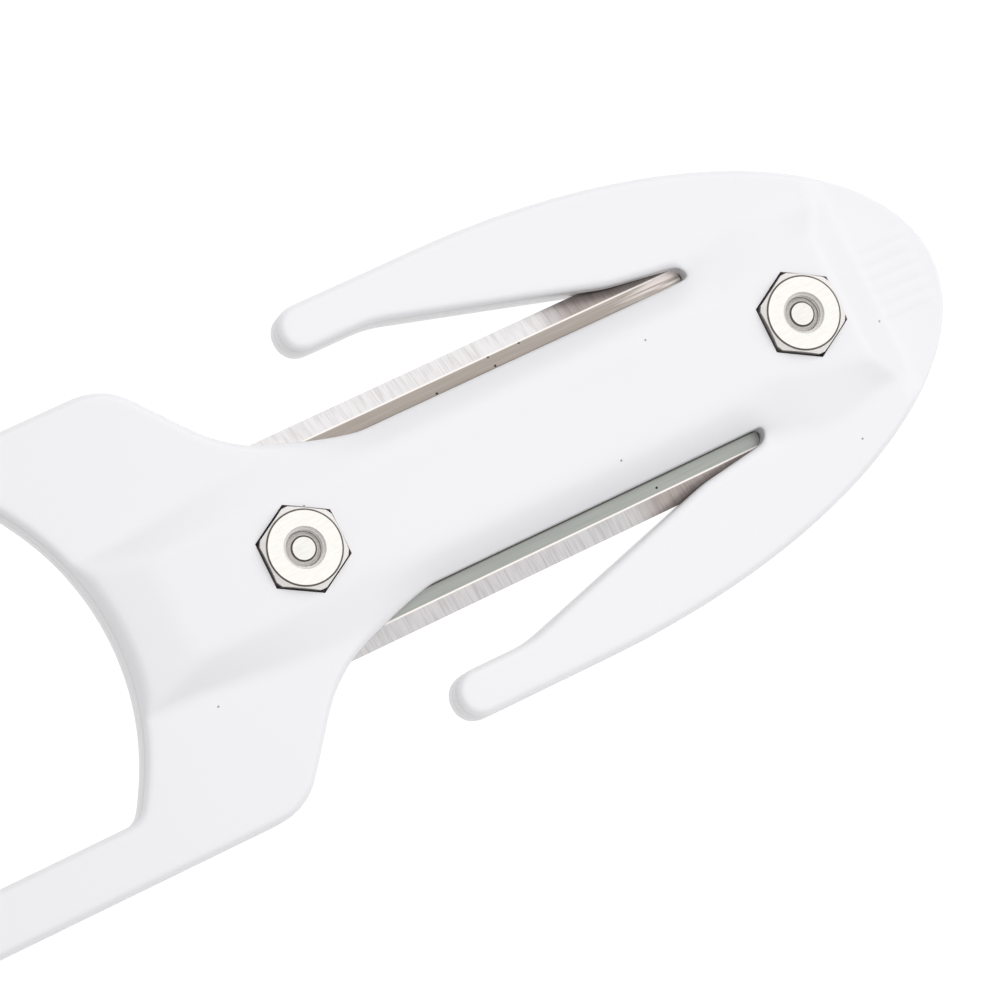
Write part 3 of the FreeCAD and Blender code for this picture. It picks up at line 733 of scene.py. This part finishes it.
def bevel_colour(paint, marks, on_left, at_root):
    """Ground steel with painted light: the left bevel painted brighter than the right, and dark where
    the hooks shade it.
    """
    # Painted light: the left bevel gets a lit tone, the right one a shaded tone
    left = paint.blend(marks, *LIT_LEFT_BEVEL)
    right = paint.blend(marks, *SHADED_RIGHT_BEVEL)
    dark = paint.blend(marks, *DARK_BEVEL)
    return paint.blend(at_root, paint.blend(on_left, right, left), dark)


def flat_colour(paint, where, streaks, on_left, rubbed):
    """Dull rolled steel with rubbed places and dark specks, and painted shade where it goes in under
    the shells.
    """
    left = paint.blend(streaks, *LEFT_FLAT)
    right = paint.blend(streaks, *RIGHT_FLAT)
    flat = paint.blend(rubbed, paint.blend(on_left, right, left), RUBBED_TONE)
    flat = paint.blend(specks(paint, where, *FLAT_SPECKS), flat, FLAT_SPECK_TONE)
    x, y, _ = paint.parts(where)
    # Painted shade along the spine's foot and ahead of the slots' ends
    beside = paint.ramp(paint.math("ABSOLUTE", y), *SHADE_BESIDE)
    ahead = paint.ramp(x, *SHADE_AHEAD)
    return paint.blend(paint.math("MAXIMUM", beside, ahead), flat, UNDER_SHELL_SHADE)


def blade_steel():
    """Blade steel: ground bevels with fine marks across them and dull flats between."""
    paint = Material("blade_steel")
    front_end, edge, _ = (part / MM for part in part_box("blade")[1])
    root = front_end - DARK_LENGTH
    border = edge - BEVEL_WIDTH
    where = paint.places()
    x, y, _ = paint.parts(where)
    across = paint.math("ABSOLUTE", y)
    on_left = paint.ramp(y, *SIDE_CHANGE)
    marks = grinding_marks(paint, x, y)
    bevel = bevel_colour(paint, marks, on_left, paint.ramp(x, root, root + DARK_FADE))
    # Streaks from rolling run along the flats; the left flat is rubbed bright towards the head
    streaks = paint.grain(where, STREAK_GRAIN, 3.0)
    towards_head = paint.ramp(x, root + RUBBED_START, root + RUBBED_END)
    rubbed = paint.math("MULTIPLY", towards_head, paint.ramp(y, 0, 1))
    rubbed = paint.math("MULTIPLY", paint.ramp(streaks, *RUBBED_RANGE), rubbed)
    flat = flat_colour(paint, where, streaks, on_left, rubbed)
    on_bevel = paint.ramp(across, border - BEVEL_EDGE, border + BEVEL_EDGE)
    off_border = paint.math("ABSOLUTE", paint.math("SUBTRACT", across, border))
    colour = paint.blend(on_bevel, flat, bevel)
    # A painted highlight along the line between each flat and its bevel
    paint.feed("Base Color", paint.blend(paint.ramp(off_border, *BORDER_WIDTH), colour, BORDER_HIGHLIGHT))
    paint.feed("Roughness", paint.ramp(on_bevel, 0, 1, *BLADE_ROUGHNESS))
    relief = paint.math("MULTIPLY", marks, on_bevel)
    relief = paint.math("ADD", relief, paint.math("MULTIPLY", streaks, STREAK_RELIEF))
    paint.bump(relief, BLADE_RELIEF)
    paint.fix(Metallic=1.0)
    return paint.material


def fastener_steel(name, middle, lit_radius, inner_radius, shine):
    """Warm bright steel with painted light: painted shade in a line round its face and on its upright
    sides, and painted highlights on its paler bore and corners.
    """
    paint = Material(name)
    where = paint.places()
    offset = paint.add("VectorMath", {0: where}, {1: (middle, 0, 0)}, operation="SUBTRACT").outputs[0]
    flat = paint.stretched(offset, (1, 1, 0))
    radius = paint.add("VectorMath", {0: flat}, operation="LENGTH").outputs["Value"]
    # The painted shade line and the painted highlights are on the nut's side; a screw's head is
    # bright all over
    upper = paint.ramp(paint.parts(where)[2], PARTING - UPPER_FADE, PARTING + UPPER_FADE)
    off_line = paint.math("ABSOLUTE", paint.math("SUBTRACT", radius, lit_radius + LINE_OFFSET))
    shade_line = paint.math("MULTIPLY", paint.ramp(off_line, *LINE_EDGE), upper)
    in_bore = paint.ramp(radius, inner_radius + BORE_FADE, inner_radius - BORE_FADE)
    in_corner = paint.ramp(radius, lit_radius, lit_radius + CORNER_FADE)
    highlighted = paint.math("MULTIPLY", paint.math("MAXIMUM", in_corner, in_bore), upper)
    scratches = paint.grain(offset, STEEL_GRAIN, 3.0)
    tones = [tuple(part * shine for part in tone) for tone in BRIGHT_STEEL]
    pale = paint.blend(highlighted, paint.blend(scratches, *tones), HIGHLIGHT_STEEL)
    # Painted shade on the upright sides
    shaded_side = paint.ramp(paint.levelness(), *SIDE_STEEPNESS, 0.0, SIDE_SHARE)
    dark = paint.blend(scratches, *SHADE_STEEL)
    paint.feed("Base Color", paint.blend(paint.math("MAXIMUM", shade_line, shaded_side), pale, dark))
    polish = paint.ramp(scratches, *SCRATCH_RANGE, *STEEL_ROUGHNESS)
    dulled = paint.math("MULTIPLY", highlighted, HIGHLIGHT_ROUGHNESS)
    paint.feed("Roughness", paint.math("ADD", polish, dulled))
    paint.feed("Metallic", paint.ramp(highlighted, 0, 1, 1.0, HIGHLIGHT_METALLIC))
    paint.bump(scratches, STEEL_RELIEF)
    return paint.material


def dress(node, material):
    """A CAD node shown with a material."""
    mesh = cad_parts[node].data
    if not mesh.materials:
        mesh.materials.append(material)
    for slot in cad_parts[node].material_slots:
        slot.material = material


def make_shells():
    """Both shells in white plastic."""
    white = plastic()
    form = shell_form(shell_outlines())
    for name, node, side, seat in (
        ("upper_shell", "nut_side_shell", 1, nut_pocket),
        ("lower_shell", "screw_side_shell", -1, screw_sink),
    ):
        piece = shell(name, node, form, side, seat)
        piece.data.materials.clear()
        piece.data.materials.append(white)


def dress_metal():
    """The blade, the nuts and the screws."""
    dress("blade", blade_steel())
    for end, middle in (("front", FRONT_NUT), ("rear", REAR_NUT)):
        for kind, face, bore, shine in (
            ("nut", NUT_FACE, NUT_BORE, NUT_SHINE),
            ("screw", SCREW_FACE, SCREW_BORE, SCREW_SHINE),
        ):
            steel = fastener_steel(f"{kind}_{end}_steel", middle, face, bore, shine)
            dress(f"{kind}_{end}", steel)


def place_camera():
    """A long lens looking down at the tool, slightly from behind."""
    data = bpy.data.cameras.new("camera")
    data.lens = CAMERA_LENS
    data.sensor_width = CAMERA_SENSOR
    data.clip_end = CAMERA_REACH
    camera = bpy.data.objects.new("camera", data)
    bpy.context.scene.collection.objects.link(camera)
    back = -CAMERA_LOOK
    right = CAMERA_TOP.cross(back).normalized()
    up = back.cross(right)
    turn = Matrix((right, up, back)).transposed()
    place = CAMERA_AIM + back * CAMERA_DISTANCE
    camera.matrix_world = Matrix.Translation(place) @ turn.to_4x4()
    bpy.context.scene.camera = camera


def floor():
    """A plain white floor that glows a little, so that the tool casts almost no shadow."""
    bpy.ops.mesh.primitive_plane_add(size=FLOOR_SIZE, location=(0, 0, -FLOOR_DROP))
    stage = bpy.context.object
    stage.name = "floor"
    paint = Material("floor")
    paint.fix(Base_Color=FLOOR_COLOUR, Roughness=FLOOR_ROUGHNESS, Specular_IOR_Level=0.0,
              Emission_Color=WHITE, Emission_Strength=FLOOR_GLOW)
    stage.data.materials.append(paint.material)


def studio_light():
    """A wide soft light overhead, and a dimmer room round it."""
    world = bpy.data.worlds.new("studio")
    world.use_nodes = True
    tree = world.node_tree
    background = tree.nodes["Background"]
    way = tree.nodes.new("ShaderNodeTexCoord").outputs["Generated"]
    facing = tree.nodes.new("ShaderNodeVectorMath")
    facing.operation = "DOT_PRODUCT"
    facing.inputs[1].default_value = SOFTBOX_WAY
    tree.links.new(way, facing.inputs[0])
    glow = tree.nodes.new("ShaderNodeMapRange")
    glow.interpolation_type = "SMOOTHSTEP"
    for key, value in enumerate((SOFTBOX_EDGE, SOFTBOX_CORE, ROOM_LIGHT, SOFTBOX_LIGHT), start=1):
        glow.inputs[key].default_value = value
    tree.links.new(facing.outputs["Value"], glow.inputs[0])
    tree.links.new(glow.outputs[0], background.inputs["Strength"])
    background.inputs["Color"].default_value = WHITE
    bpy.context.scene.world = world
    bpy.context.scene.view_settings.view_transform = "Standard"


make_shells()
dress_metal()
place_camera()
floor()
studio_light()
